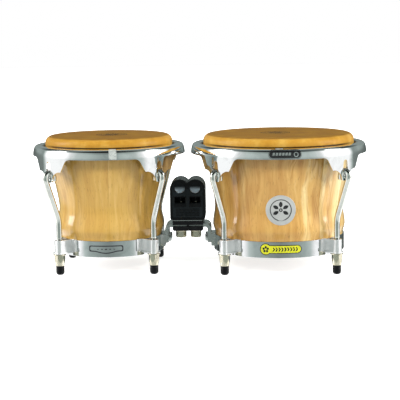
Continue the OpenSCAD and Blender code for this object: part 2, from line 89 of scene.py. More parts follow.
class Shape:
    """Collects points and faces of one piece."""

    def __init__(self):
        self.points = []
        self.faces = []

    def ring(self, points):
        start = len(self.points)
        self.points += points
        return list(range(start, start + len(points)))

    def bridge(self, a, b, closed=True):
        n = len(a)
        for i in range(n if closed else n - 1):
            j = (i + 1) % n
            self.faces.append([a[i], a[j], b[j], b[i]])

    def loft(self, rings, closed=True, wrap=False, caps=False):
        """Joins rings of points in turn. wrap joins the last to the first, caps closes both ends."""
        ids = [self.ring(r) for r in rings]
        for a, b in zip(ids, ids[1:]):
            self.bridge(a, b, closed)
        if wrap:
            self.bridge(ids[-1], ids[0], closed)
        if caps:
            self.faces.append(ids[0][::-1])
            self.faces.append(ids[-1])
        return ids

    def loft_at(self, drum, azimuth, rings, **ends):
        """The same for rings drawn with +X out from a drum's axis."""
        self.loft([around(drum.x, azimuth, ring) for ring in rings], **ends)

    def fan(self, ring, tip):
        self.points.append(tip)
        t = len(self.points) - 1
        for i in range(len(ring)):
            self.faces.append([ring[i], ring[(i + 1) % len(ring)], t])

    def piece(self, name, body, material, nodes=(), sharp=None, weld=1e-6, weighted=False):
        """Makes the object, which rides on a body and stands for CAD nodes."""
        mesh = bpy.data.meshes.new(name)
        mesh.from_pydata([(x * MM, y * MM, z * MM) for x, y, z in self.points], [], self.faces)
        bm = bmesh.new()
        bm.from_mesh(mesh)
        bmesh.ops.remove_doubles(bm, verts=bm.verts, dist=weld)
        bmesh.ops.dissolve_degenerate(bm, edges=bm.edges, dist=weld)
        bmesh.ops.recalc_face_normals(bm, faces=bm.faces)
        bm.to_mesh(mesh)
        bm.free()
        mesh.shade_smooth()
        if sharp:
            mesh.set_sharp_from_angle(angle=sharp * DEG)
        obj = bpy.data.objects.new(name, mesh)
        bpy.context.scene.collection.objects.link(obj)
        mesh.materials.append(material)
        if weighted:
            obj.modifiers.new("Normals", "WEIGHTED_NORMAL").keep_sharp = True
        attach(obj, body)
        if nodes:
            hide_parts(*nodes)
        return obj


def bevel(obj, width, segments, limit):
    modifier = obj.modifiers.new("Edge", "BEVEL")
    modifier.width = width * MM
    modifier.segments = segments
    modifier.limit_method = "ANGLE"
    modifier.angle_limit = limit * DEG
    return modifier


def around(x0, azimuth, points):
    """Turns points drawn with +X out from a drum's axis to an azimuth on that drum."""
    c, s = math.cos(azimuth * DEG), math.sin(azimuth * DEG)
    return [(x0 + x * c - y * s, x * s + y * c, z) for x, y, z in points]


def spin(shape, x0, y0, profile, segments, wrap=False):
    """Turns a profile of (radius, height) points round a vertical axis. Radius 0 is a tip."""
    ids = shape.loft([at_height(circle(r, segments, x0, y0), z) for r, z in profile if r], wrap=wrap)
    if profile[0][0] == 0:
        shape.fan(ids[0], (x0, y0, profile[0][1]))
    if profile[-1][0] == 0:
        shape.fan(ids[-1], (x0, y0, profile[-1][1]))


# ---- Materials ----

class Value:
    """A number in a node tree. Arithmetic with it adds the nodes that work it out."""

    def __init__(self, nodes, socket):
        self.nodes, self.socket = nodes, socket

    def __add__(self, other):
        return self.nodes.math("ADD", self, other)

    def __sub__(self, other):
        return self.nodes.math("SUBTRACT", self, other)

    def __mul__(self, other):
        return self.nodes.math("MULTIPLY", self, other)

    def __truediv__(self, other):
        return self.nodes.math("DIVIDE", self, other)

    def __abs__(self):
        return self.nodes.math("ABSOLUTE", self)

    __radd__, __rmul__ = __add__, __mul__


class Nodes:
    """The node tree of a new material or world, under construction."""

    def __init__(self, owner, shader="Principled BSDF"):
        owner.use_nodes = True
        self.owner = owner
        self.tree = owner.node_tree
        self.shader = self.tree.nodes[shader]

    def add(self, kind, inputs=None, **settings):
        node = self.tree.nodes.new("ShaderNode" + kind)
        for key, value in settings.items():
            setattr(node, key, value)
        for key, value in (inputs or {}).items():
            self.put(node.inputs[key], value)
        return node

    def put(self, socket, value):
        if isinstance(value, Value):
            value = value.socket
        if isinstance(value, bpy.types.NodeSocket):
            self.tree.links.new(value, socket)
        else:
            socket.default_value = value

    def value(self, kind, output, inputs=None, **settings):
        return Value(self, self.add(kind, inputs, **settings).outputs[output])

    def math(self, operation, a, b=0.0):
        return self.value("Math", 0, {0: a, 1: b}, operation=operation)

    def length(self, x, y):
        return self.math("SQRT", x * x + y * y)

    def between(self, value, low, high, out_low=0.0, out_high=1.0):
        """Smooth step of value from low to high."""
        return self.value("MapRange", "Result", {"Value": value, "From Min": low, "From Max": high,
                                                 "To Min": out_low, "To Max": out_high},
                          interpolation_type="SMOOTHSTEP")

    def window(self, value, low, high, soft):
        """1 between low and high, falling to 0 over soft."""
        return (self.between(value, low - soft, low + soft)
                * self.between(value, high - soft, high + soft, 1.0, 0.0))

    def mix(self, factor, a, b):
        node = self.add("Mix", data_type="RGBA")
        self.put(node.inputs[0], factor)
        self.put(node.inputs[6], a)
        self.put(node.inputs[7], b)
        return node.outputs[2]

    def place(self):
        """Coordinates in the row frame at rest."""
        return self.add("TexCoord").outputs["Object"]

    def axes(self, vector):
        split = self.add("SeparateXYZ", {0: vector})
        return [Value(self, output) for output in split.outputs]

    def vector(self, x, y, z):
        return self.add("CombineXYZ", {0: x, 1: y, 2: z}).outputs[0]

    def noise(self, vector, scale, detail=2.0, rough=0.5, distortion=0.0):
        return self.value("TexNoise", "Fac", {"Vector": vector, "Scale": scale, "Detail": detail,
                                              "Roughness": rough, "Distortion": distortion})

    def ramp(self, value, stops):
        node = self.add("ValToRGB", {"Fac": value})
        ramp = node.color_ramp
        while len(ramp.elements) < len(stops):
            ramp.elements.new(0.5)
        for element, (at, colour) in zip(ramp.elements, stops):
            element.position = at
            element.color = colour
        return node.outputs["Color"]

    def set(self, **values):
        for key, value in values.items():
            self.put(self.shader.inputs[key.replace("_", " ")], value)

    def bump(self, height, strength, distance):
        self.set(Normal=self.add("Bump", {"Height": height, "Strength": strength,
                                          "Distance": distance}).outputs[0])


def material_nodes(name):
    return Nodes(bpy.data.materials.new(name))


def grey(v):
    return (v, v, v, 1)


def shade(colour, share):
    """A darker or lighter share of a colour."""
    return tuple(share * c for c in colour[:3]) + (1.0,)


def srgb(r, g, b):
    """A colour given as on a screen, 0 to 255."""
    def channel(c):
        c /= 255
        return c / 12.92 if c <= 0.04045 else ((c + 0.055) / 1.055) ** 2.4
    return (channel(r), channel(g), channel(b), 1.0)


def wood_material(name, x0, staves, seed, tones, streaks, side_shade, side_shade_at):
    """Lacquered hardwood staves: vertical grain, fine pores, and streaks of a given strength.
    tones are pale, middling and deep. The last two arguments give painted shade: how much the timber is
    darkened towards one side of the shell, and that side's azimuth."""
    n = material_nodes(name)
    pale, mid, deep = (srgb(*tone) for tone in tones)
    x, y, z = n.axes(n.place())
    dx = x - x0 * MM
    angle = n.math("ARCTAN2", dx, y * -1.0)
    turn = angle * (staves / FULL) + (staves / 2 + seed % 1)
    tone = n.value("TexWhiteNoise", "Value", {"W": n.math("FLOOR", turn) + seed}, noise_dimensions="1D")
    across = angle * 0.09
    shift = tone * 3.0
    depth = n.length(dx, y) * 0.5 + shift

    def grain(squeeze, sway=0.0):
        """Metres round the drum, depth, and height squeezed, so that features run upright."""
        u = across
        if sway:
            u = across + n.noise(n.vector(across * 0.6, shift, z * 0.55), 22.0) * sway
        return n.vector(u, depth, z * squeeze)

    broad = n.noise(grain(0.12, 0.03), 45.0, 4.0, 0.55)
    fine = n.noise(grain(0.05, 0.012), 420.0, 3.0, 0.6)
    lines = n.noise(grain(0.045, 0.02), 150.0, 3.0)
    cloud = n.noise(grain(0.7), 30.0)
    figure = broad * streaks + lines * (0.55 - 0.2 * streaks) + fine * 0.22 + (tone - 0.5) * 0.16
    figure += cloud * 0.12
    # Painted shade: darker towards one side of the shell
    figure += (n.math("COSINE", angle - side_shade_at * DEG) - 0.85) * side_shade
    base = n.ramp(figure, [(0.28 + 0.2 * streaks, pale), (0.45 + 0.3 * streaks, mid),
                           (0.62 + 0.5 * streaks, deep)])
    # Pores: short dark upright dashes
    pores = n.between(n.noise(grain(0.14), 900.0, 1.0), 0.62, 0.74)
    base = n.mix(pores * 0.38, base, shade(deep, 0.42))
    # Dark wavy growth lines, strong in some places and faint in others
    rings = n.noise(grain(0.05, 0.035), 110.0, 2.0, 0.45, 0.3)
    rings = n.between(rings, 0.50, 0.56) * n.between(rings, 0.60, 0.56)
    rings *= n.between(n.noise(grain(0.3), 26.0), 0.42, 0.62, 0.1, 0.35 + 0.4 * streaks)
    base = n.mix(rings, base, deep)
    # Glue lines between staves
    seam = n.between(abs(n.math("FRACT", turn) - 0.5), 0.492, 0.4995)
    base = n.mix(seam * 0.28, base, shade(deep, 0.5))
    n.set(Base_Color=base, Coat_Weight=1.0, Coat_Roughness=0.02, Coat_IOR=1.5)
    n.set(Roughness=fine * 0.2 + 0.36, Specular_IOR_Level=0.25)
    n.bump(pores * -0.6 + fine * 0.5, 0.25, 0.0002)
    return n.owner


def skin_material(name, x0, top_z, stamp_x, stamp_r):
    """Thick hide, smooth on the playing surface, with a faded round stamp. Painted light and shade: the edge
    is a paler gold and the playing surface darker.
    """
    n = material_nodes(name)
    place = n.place()
    x, y, z = n.axes(place)
    mottle = n.noise(place, 38.0, 5.0, 0.6)
    speck = n.noise(place, 420.0, 3.0, 0.6)
    stretched = n.add("Mapping", {"Vector": place, "Scale": (1.0, 3.0, 1.0)}).outputs[0]
    fibre = n.noise(stretched, 260.0, 4.0, 0.65, 0.6)
    # Painted light and shade: a paler copy of the hide's colour for the edge, a darker one for the playing
    # surface
    edge = n.ramp(mottle, [(0.3, srgb(166, 116, 36)), (0.52, srgb(184, 136, 50)), (0.72, srgb(200, 158, 74))])
    top = n.ramp(mottle, [(0.3, srgb(122, 84, 22)), (0.52, srgb(136, 96, 28)), (0.72, srgb(150, 111, 38))])

    def below_top(start, end, *out):
        """Smooth step from one depth to another, in millimetres under the playing surface."""
        return n.between(z, (top_z - start) * MM, (top_z - end) * MM, *out)

    level = below_top(1.6, 0.1)
    base = n.mix(n.between(speck, 0.55, 0.75) * 0.16, n.mix(level, edge, top), srgb(112, 66, 22))
    # Painted shade at the front, where the hide tucks in behind the rim: a dark brown band low on the side
    tuck_shade = below_top(9.8, 11.2, 0.0, 0.95) * below_top(16.6, 15.0, 0.35, 1.0) * n.between(y, -0.02, -0.07)
    base = n.mix(tuck_shade, base, srgb(30, 18, 8))
    # Stamp: two rings and short rays round a rosette of eight petals, in worn dark ink
    dx = x - (x0 + stamp_x) * MM
    r = n.length(dx, y) / (stamp_r * MM)
    angle = n.math("ARCTAN2", y, dx)

    def ring(at, half):
        return n.between(abs(r - at), half + 0.012, half - 0.012)

    petals = abs(n.math("COSINE", angle * 4.0)) * 0.34 + 0.24
    rosette = n.between(petals - r, -0.02, 0.02) * n.between(r, 0.12, 0.15)
    rays = n.between(n.math("COSINE", angle * 32.0), 0.0, 0.25) * ring(0.80, 0.07)
    ink = rosette
    for mark in (ring(0.96, 0.035), ring(0.665, 0.02), rays):
        ink = n.math("MAXIMUM", ink, mark)
    worn = n.between(n.noise(place, 900.0, 3.0, 0.7), 0.3, 0.5)
    base = n.mix(ink * (worn * 0.35 + 0.6) * level, base, srgb(36, 32, 20))
    n.set(Base_Color=base, Subsurface_Weight=0.06, Subsurface_Radius=(0.004, 0.002, 0.001))
    n.set(Roughness=level * 0.30 + mottle * 0.16 + 0.28, Specular_IOR_Level=0.2)
    n.bump(fibre * 0.6 + mottle * 0.8, 0.35, 0.0004)
    return n.owner


def metal_material(name, colour, rough, haze=0.04, scale=60.0, grain=0.0, dull=None, bump=0.0, axis_x=None,
                   metallic=1.0, rim=0.0):
    """Plated or polished metal: faint smears, a little haze in patches, and fine grain where it is brushed.
    With axis_x, faces turned towards that upright axis are painted near-black as shade, and made rougher.
    rim paints shade: it darkens the metal where it curves out of sight."""
    n = material_nodes(name)
    place = n.place()
    patch = n.noise(place, scale, 4.0, 0.6, 0.8)
    fine = n.noise(place, scale * 14, 3.0, 0.6)
    base = n.mix(n.between(patch, 0.42, 0.72), colour, dull or shade(colour, 0.86))
    spread = n.between(patch, 0.4, 0.75) * haze + rough
    if axis_x is not None:
        def vector(operation, a, *b):
            return n.add("VectorMath", dict(enumerate((a, *b))), operation=operation).outputs[0]
        outwards = vector("MULTIPLY", vector("SUBTRACT", place, (axis_x * MM, 0.0, 0.0)), (1.0, 1.0, 0.0))
        facing = n.value("VectorMath", "Value", {0: vector("NORMALIZE", outwards),
                                                 1: n.add("NewGeometry").outputs["Normal"]},
                         operation="DOT_PRODUCT")
        # Painted shade: faces turned in towards the axis are darkened to near-black
        shaded_inside = n.between(facing, -0.45, -0.75)
        base = n.mix(shaded_inside, base, (0.07, 0.075, 0.07, 1))
        spread += shaded_inside * 0.3
    if rim:
        # Painted shade along the outline, where faces turn away from view
        turned = n.value("LayerWeight", "Facing", {"Blend": 0.5})
        base = n.mix(n.between(turned, 0.30, 0.85, 0.0, rim), base, (0.05, 0.06, 0.055, 1))
    n.set(Metallic=metallic, Base_Color=base, Roughness=spread + fine * (haze * 0.8 + grain))
    if bump:
        n.bump(fine, 0.3, bump)
    return n.owner


def black_material(name, colour, rough, relief, scale, panel_y=None, sockets=()):
    """Moulded plastic or rubber: fine matte texture, with paler rubbed edges and a little dirt in patches.
    Faces nearer to the middle than panel_y are painted paler, leaving a dark band of painted shade round the
    front rim.
    sockets gives the centres and radius of round sockets, whose lower insides get a pale bluish painted
    highlight."""
    n = material_nodes(name)
    place = n.place()
    patch = n.noise(place, scale * 0.08, 4.0, 0.6)
    fine = n.noise(place, scale, 3.0, 0.6)
    pale = tuple(min(1.0, 2.1 * c + 0.006) for c in colour[:3]) + (1.0,)
    edges = n.value("NewGeometry", "Pointiness")
    wear = n.between(edges, 0.52, 0.62) * n.between(patch, 0.35, 0.7)
    base = n.mix(wear * 0.5 + n.between(patch, 0.5, 0.8) * 0.25, colour, pale)
    # Painted light and shade: paler faces inside the front rim, the rim band left dark
    if panel_y:
        x, y, z = n.axes(place)
        relief_light = n.between(abs(y), (panel_y + 0.3) * MM, panel_y * MM)
        base = n.mix(relief_light * 0.85, base, (0.013, 0.018, 0.021, 1))
    # Painted highlight: pale bluish light on the lower inside of each socket
    for socket_x, socket_z, r in sockets:
        dx, dz = x - socket_x * MM, z - socket_z * MM
        socket_highlight = n.between(n.length(dx, dz), (r + 0.3) * MM, r * MM) * n.between(dz, 0.001, -0.006)
        base = n.mix(socket_highlight, base, (0.80, 0.92, 1.0, 1))
    n.set(Base_Color=base, Specular_IOR_Level=0.22, Roughness=fine * 0.14 + rough)
    n.bump(fine, 0.4, relief)
    return n.owner


def enamel_material(name, colour, rough=0.22):
    n = material_nodes(name)
    place = n.place()
    cloud = n.noise(place, 160.0, 3.0, 0.6)
    base = n.mix(n.between(cloud, 0.35, 0.7), colour, shade(colour, 0.82))
    n.set(Base_Color=base, Coat_Weight=0.6, Coat_Roughness=0.05, Roughness=cloud * 0.12 + rough)
    n.bump(n.noise(place, 2200.0), 0.12, 0.00005)
    return n.owner


def brushed_material(name, colour, x0, z0):
    """Metal brushed in fine arcs round a centre."""
    n = material_nodes(name)
    x, _, z = n.axes(n.place())
    dx, dz = x - x0 * MM, z - z0 * MM
    lines = n.noise(n.vector(n.length(dx, dz), n.math("ARCTAN2", dz, dx) * 0.0008, 0.0), 5200.0, 3.0, 0.7)
    cloud = n.noise(n.place(), 90.0, 3.0)
    n.set(Metallic=0.6, Base_Color=n.mix(cloud * 0.5 + lines * 0.5, colour, shade(colour, 0.72)))
    n.set(Roughness=lines * 0.25 + 0.22)
    n.bump(lines, 0.25, 0.00008)
    return n.owner


# ---- The two drums, from the frame ----

BAND_T = 1.8
ROD_OFFSET = 2.5
EDGE_R = 9.0
SKIN_T = 1.7
SHELL_GAP = 0.3
CREST_R = EDGE_R - SKIN_T - SHELL_GAP
CROWN_T = 2.6


class Drum:
    def __init__(self, name, belly_r, waist_r):
        self.name = name
        lo, hi = box_mm(f"{name}_head")
        self.x = (lo[0] + hi[0]) / 2
        self.r = (hi[0] - lo[0]) / 2
        self.head_low, self.top = lo[2], hi[2]
        self.foot_r = half_width(f"{name}_band") - BAND_T
        self.belly_r, self.waist_r = belly_r, waist_r
        self.rod_x = self.r + ROD_OFFSET
        self.crown_body = f"{name}_crown_set"


small = Drum("small", 74.4, 70.6)
large = Drum("large", 91.0, 88.2)
DRUMS = (small, large)

band_z0, band_z1 = heights("small_band")
nut_z0, nut_z1 = heights("small_nut_fl")
washer_z0, washer_z1 = heights("small_washers")
lug_z0, lug_z1 = heights("small_lug_fl")
cap_top = heights("small_cap_fl")[1]

small_wood = wood_material("SmallWood", small.x, 11, 3.37,
                           ((220, 182, 106), (204, 162, 80), (184, 136, 62)), 0.35, 0.03, 60)
large_wood = wood_material("LargeWood", large.x, 13, 4.23,
                           ((240, 218, 158), (212, 168, 94), (174, 120, 52)), 0.8, 0.26, -20)
small_skin = skin_material("SmallSkin", small.x, small.top, 4.0, 21.5)
large_skin = skin_material("LargeSkin", large.x, large.top, -4.0, 20.5)
chrome = metal_material("Chrome", (0.86, 0.88, 0.89, 1), 0.035, 0.03, 45.0, rim=0.45)
crown_chrome = {
    d.name: metal_material(f"{d.name}_RimChrome", (0.86, 0.88, 0.88, 1), 0.035, 0.03, 45.0, axis_x=d.x)
    for d in DRUMS}
lug_chrome = metal_material("LugChrome", (0.92, 0.93, 0.93, 1), 0.05, 0.04, 45.0, rim=0.6, metallic=0.7)
rod_chrome = metal_material("RodChrome", (0.90, 0.91, 0.86, 1), 0.05, 0.04, 80.0, rim=0.85)
zinc = metal_material("Zinc", (0.82, 0.77, 0.62, 1), 0.15, 0.10, 160.0, 0.05, (0.62, 0.58, 0.42, 1), 0.00003,
                      rim=0.5)
steel = metal_material("BridgeSteel", (0.60, 0.63, 0.61, 1), 0.17, 0.10, 90.0, 0.06,
                       (0.48, 0.51, 0.50, 1), 0.00004)
ground = metal_material("GroundSeam", (0.80, 0.83, 0.79, 1), 0.34, 0.15, 300.0, 0.1, (0.46, 0.49, 0.47, 1),
                        metallic=0.6)
blackened = metal_material("BlackSteel", (0.10, 0.10, 0.11, 1), 0.38, 0.15, 120.0, 0.05)
rubber = black_material("Rubber", (0.004, 0.004, 0.005, 1), 0.34, 0.00006, 1500.0)
block_lo, block_hi = box_mm("centre_block")
block_x = (block_lo[0] + block_hi[0]) / 2
moulded = black_material("Moulded", (0.0030, 0.0035, 0.0045, 1), 0.16, 0.00004, 2600.0, 21.3,
                         [(block_x + side * 10.3, 111.0, 6.9) for side in (-1, 1)])


# ---- Shells ----

def stations(drum):
    top_r = drum.r - EDGE_R + CREST_R
    foot, waist = drum.foot_r, drum.waist_r
    z0 = band_z0 + 1.0
    return [(z0, foot), (47.2, foot), (60, drum.belly_r), (84, waist),
            (110, waist + 0.235 * (top_r - waist)), (142, waist + 0.73 * (top_r - waist)),
            (165, top_r), (drum.top - EDGE_R, top_r)]


def flank(drum, parts=8):
    """(radius, height) points of a shell's smooth outside."""
    s = stations(drum)

    def slope(i):
        return 0 if i in (0, len(s) - 1) else (s[i + 1][1] - s[i - 1][1]) / (s[i + 1][0] - s[i - 1][0])

    out = []
    for i in range(len(s) - 1):
        w = s[i + 1][0] - s[i][0]
        for k in range(parts):
            t = k / parts
            t2, t3 = t * t, t * t * t
            out.append(((2 * t3 - 3 * t2 + 1) * s[i][1] + (t3 - 2 * t2 + t) * w * slope(i)
                        + (3 * t2 - 2 * t3) * s[i + 1][1] + (t3 - t2) * w * slope(i + 1), s[i][0] + w * t))
    return out + [(s[-1][1], s[-1][0])]


WALL = 9.0
for drum, wood in ((small, small_wood), (large, large_wood)):
    outside = flank(drum)
    z0 = outside[0][1]
    profile = arc(outside[0][0] - 1.0, z0 + 1.0, 1.0, 270, 345, 4)
    profile += [p for p in outside if p[1] > z0 + 1.2]
    profile += arc(drum.r - EDGE_R, drum.top - EDGE_R, CREST_R, 8, 92, 8)
    profile += [(drum.r - EDGE_R - 3, drum.top - EDGE_R + CREST_R - 1.5)]
    profile += [(r - WALL, z) for r, z in reversed(outside) if z0 + 1.2 < z < 172]
    profile += arc(outside[0][0] - WALL + 1.0, z0 + 1.0, 1.0, 195, 270, 4)
    shape = Shape()
    spin(shape, drum.x, 0, profile, 192, wrap=True)
    shape.piece(f"{drum.name}_wood_shell", "frame", wood, [f"{drum.name}_shell"])


# ---- Heads and flesh hoops ----

for drum, skin in ((small, small_skin), (large, large_skin)):
    r, top = drum.r, drum.top
    profile = [(0, top)] + [(r * k / 14, top) for k in range(1, 13)]
    profile += arc(r - EDGE_R, top - EDGE_R, EDGE_R, 90, 0, 14)
    profile += [(r, z) for z in (173, 170, 166, 162, drum.head_low + 0.6)]
    profile += arc(r - 0.6, drum.head_low + 0.6, 0.6, -15, -90, 4)
    profile += [(r - SKIN_T, drum.head_low)]
    profile += [(r - SKIN_T, z) for z in (161, 167, 173)]
    profile += arc(r - EDGE_R, top - EDGE_R, EDGE_R - SKIN_T, 0, 90, 8)
    profile += [(r * k / 14, top - SKIN_T) for k in range(12, 0, -2)] + [(0, top - SKIN_T)]
    shape = Shape()
    spin(shape, drum.x, 0, profile, 192)
    shape.piece(f"{drum.name}_skin", "frame", skin, [f"{drum.name}_head"])

    # The hoop's bar, with the hide tucked over it
    low, high = heights(f"{drum.name}_flesh_hoop")
    bar_r = (high - low) / 2
    centre_r = half_width(f"{drum.name}_flesh_hoop") - bar_r
    shape = Shape()
    spin(shape, drum.x, 0, arc(centre_r, (low + high) / 2, bar_r, 0, 345, 23), 144, wrap=True)
    shape.piece(f"{drum.name}_hoop_bar", drum.crown_body, rod_chrome, [f"{drum.name}_flesh_hoop"])


# ---- Crowns ----

SKIRT = 15.9
CROWN_LOW = 158.3
EAR_TIP = 126.5
EAR_REACH = 37.0
EAR_ROWS = 7
# Sideways place where an ear's wing meets the part round its slot
WING_START = 12.3


def crown_line(drum):
    """Middle of the crown's steel in section: up beside the head, over, and down the skirt."""
    r = drum.r
    return ([(r + 2.6, 164.4), (r + 2.6, 165.3)] + arc(r + 6.8, 166.2, 4.2, 180, 95, 14)
            + arc(r + 11, 166.4, 3.4, 85, 12, 12))


def skirt_rows(drum):
    """The skirt's section from its lower edge up to where the brow starts."""
    wall = drum.r + SKIRT
    top_r, top_z = crown_line(drum)[-1]
    return [(wall + (top_r - wall) * t ** 1.9, CROWN_LOW + (top_z - CROWN_LOW) * t)
            for t in (0, 0.1, 0.22, 0.36, 0.52, 0.68, 0.84)]


def outwards(line):
    """Unit normals of a section drawn from its lower edge up."""
    normals = []
    for i in range(len(line)):
        a, b = line[max(i - 1, 0)], line[min(i + 1, len(line) - 1)]
        size = math.dist(a, b)
        normals.append(((b[1] - a[1]) / size, -(b[0] - a[0]) / size))
    return normals


def ear_half():
    """Half of an ear's outline as (sideways, height), from the skirt's edge down to the tip."""
    return (arc(EAR_REACH, CROWN_LOW - 9, 9, 90, 146, 8) + [(27.3, 150.25), (25.1, 146.2)]
            + arc(20.6, 143.4, 2.6, -30, -75, 4) + arc(20.6, 127.3, 14, 88, 172, 16)
            + arc(3.7, EAR_TIP + 3, 3, -10, -90, 5) + [(1.9, EAR_TIP), (0, EAR_TIP)])


def teardrop():
    """Right half of the rod's slot, from the bottom up."""
    low, high, r0, r1 = 139.4, 150.4, 5.0, 3.7
    lean = math.asin((r0 - r1) / (high - low)) / DEG
    c, s = math.cos(lean * DEG), math.sin(lean * DEG)
    side = [((r0 + (r1 - r0) * t) * c, low + r0 * s + (high - low + (r1 - r0) * s) * t)
            for t in (0.25, 0.5, 0.75)]
    return arc(0, low, r0, -90, lean, 14) + side + arc(0, high, r1, lean, 90, 8)


def resample(points, count):
    """The same line with another number of points, evenly spaced."""
    lengths = [0.0]
    for a, b in zip(points, points[1:]):
        lengths.append(lengths[-1] + math.dist(a, b))
    out = []
    i = 0
    for k in range(count):
        target = lengths[-1] * k / (count - 1)
        while i < len(points) - 2 and lengths[i + 1] < target:
            i += 1
        span = lengths[i + 1] - lengths[i]
        t = min(max((target - lengths[i]) / span, 0), 1) if span else 0
        out.append(tuple(a + (b - a) * t for a, b in zip(points[i], points[i + 1])))
    return out


def crown(drum):
    """One quarter at a time: the ear below the skirt's edge as an O-shaped patch round its slot
    and a wing each side, then the skirt, brow and roll above it."""
    shape = Shape()
    wall = drum.r + SKIRT
    quarter = math.pi / 2 * wall
    section = skirt_rows(drum) + crown_line(drum)[::-1]
    normals = outwards(section)
    normals[0] = (1.0, 0.0)

    outline = ear_half()
    wing = [p for p in outline if p[0] > WING_START]
    at_split = next(p for p in outline if p[0] <= WING_START)
    split_s = at_split[0]
    under = [p for p in outline if p[0] < split_s - 1e-6]

    # Columns along the skirt's edge on the right half, from the ear's middle out to the quarter's end
    core_top = steps((0, CROWN_LOW), (split_s, CROWN_LOW), 8)
    wing_top = []
    for k, p in enumerate(wing[:0:-1]):
        even = split_s + (EAR_REACH - split_s) * (k + 1) / len(wing)
        wing_top.append((0.45 * p[0] + 0.55 * even, CROWN_LOW))
    wing_top.append((EAR_REACH, CROWN_LOW))
    beyond = steps((EAR_REACH, CROWN_LOW), (quarter / 2, CROWN_LOW), 26)[1:]
    columns = core_top + wing_top + beyond
    side_rows = steps(at_split, (split_s, CROWN_LOW), EAR_ROWS)
    rim = under[::-1] + side_rows + core_top[-2::-1]
    hole = resample(teardrop(), len(rim))
    edge = beyond[::-1] + [(EAR_REACH, CROWN_LOW)] + wing[1:] + [at_split] + under

    def lay(azimuth, s, r, z):
        a = azimuth * DEG + s / wall
        return (drum.x + r * math.cos(a), r * math.sin(a), z)

    for azimuth in CORNERS.values():
        for side in (1, -1):
            skins = []
            for d in (CROWN_T / 2, -CROWN_T / 2):
                def put(points):
                    return [lay(azimuth, side * s, wall + d, z) for s, z in points]
                shape.loft([put([(h[0] + (q[0] - h[0]) * t, h[1] + (q[1] - h[1]) * t)
                                 for h, q in zip(hole, rim)]) for t in (0, 0.12, 0.3, 0.52, 0.76, 1)],
                           closed=False)
                shape.loft([put(side_rows)] + [put(steps(low, high, EAR_ROWS))
                                               for low, high in zip(wing[::-1], wing_top)], closed=False)
                rows = [[lay(azimuth, side * s, r + d * nr, z + d * nz) for s, _ in columns]
                        for (r, z), (nr, nz) in zip(section, normals)]
                shape.loft(rows, closed=False)
                skins.append((put(edge), put(hole), rows[-1]))
            for outer, inner in zip(*skins):
                shape.loft([outer, inner], closed=False)
    obj = shape.piece(f"{drum.name}_crown_steel", drum.crown_body, crown_chrome[drum.name],
                      [f"{drum.name}_crown"], weld=2e-5)
    bevel(obj, 0.7, 3, 50)
    obj.modifiers.new("Normals", "WEIGHTED_NORMAL")


for drum in DRUMS:
    crown(drum)


# ---- Bottom bands ----

for drum in DRUMS:
    r = drum.foot_r
    shape = Shape()
    profile = (arc(r + BAND_T - 0.7, band_z0 + 0.7, 0.7, -90, 0, 5)
               + [(r + BAND_T, band_z0 + (band_z1 - band_z0) * k / 6) for k in range(1, 6)]
               + arc(r + BAND_T - 0.7, band_z1 - 0.7, 0.7, 0, 90, 5)
               + arc(r + 0.5, band_z1 - 0.5, 0.48, 90, 180, 3)
               + arc(r + 0.5, band_z0 + 0.5, 0.48, 180, 270, 3))
    spin(shape, drum.x, 0, profile, 192, wrap=True)
    shape.piece(f"{drum.name}_bottom_band", "frame", chrome, [f"{drum.name}_band"], weighted=True)


# ---- Lugs ----

LUG_T = 1.8
LUG_HALF = 6.4
LUG_FLANGE = 8.5
SHELF_T = 2.2


def strap_section(height, inset):
    """Rectangle with round corners as (out, up): the strap's thickness by a height."""
    w, h, c = LUG_T / 2 - inset, height / 2 - inset, 0.5 - inset
    return (arc(w - c, h - c, c, 0, 90, 3) + arc(c - w, h - c, c, 90, 180, 3)
            + arc(c - w, c - h, c, 180, 270, 3) + arc(w - c, c - h, c, 270, 360, 3))


def strap_rings(path, z, height):
    """Rings of the strap along a path of (x, y, normal x, normal y), with its two ends chamfered."""
    chamfer = 0.3
    places = ([(path[0], 0.0, chamfer), (path[0], chamfer, 0.0)] + [(p, 0.0, 0.0) for p in path[1:-1]]
              + [(path[-1], -chamfer, 0.0), (path[-1], 0.0, chamfer)])
    return [[(x + ny * ahead + nx * out, y - nx * ahead + ny * out, z + up)
             for out, up in strap_section(height, inset)] for (x, y, nx, ny), ahead, inset in places]


def lug_path(r, rod_x):
    """Middle of the bent strap seen from above: flange, leg, nose, leg, flange, with outward normals."""
    rc = r + LUG_T / 2 + 0.03
    turn = 2.1
    nose_r = 4.1
    leg = LUG_HALF - LUG_T / 2
    front = rod_x + LUG_HALF - LUG_T / 2
    half = []
    # Right half, from the flange's end to the nose's middle
    beta = (LUG_HALF + LUG_FLANGE) / r
    start = (leg + turn + 0.6) / rc
    for k in range(7):
        a = beta + (start - beta) * k / 6
        half.append((rc * math.cos(a), rc * math.sin(a), math.cos(a), math.sin(a)))
    a = start
    bend = Vector((rc * math.cos(a) + turn * math.cos(a), rc * math.sin(a) + turn * math.sin(a)))
    first = 180 + a / DEG
    for k in range(1, 7):
        b = (first + (270 - first) * k / 6) * DEG
        c, s = math.cos(b), math.sin(b)
        half.append((bend[0] + turn * c, leg + turn + turn * s, -c, -s))
    for t in (0.33, 0.66):
        half.append((bend[0] + (front - nose_r - bend[0]) * t, leg, 0.0, 1.0))
    for k in range(7):
        b = (90 - 90 * k / 6) * DEG
        c, s = math.cos(b), math.sin(b)
        half.append((front - nose_r + nose_r * c, leg - nose_r + nose_r * s, c, s))
    left = [(x, -y, nx, -ny) for x, y, nx, ny in reversed(half)]
    return half + left


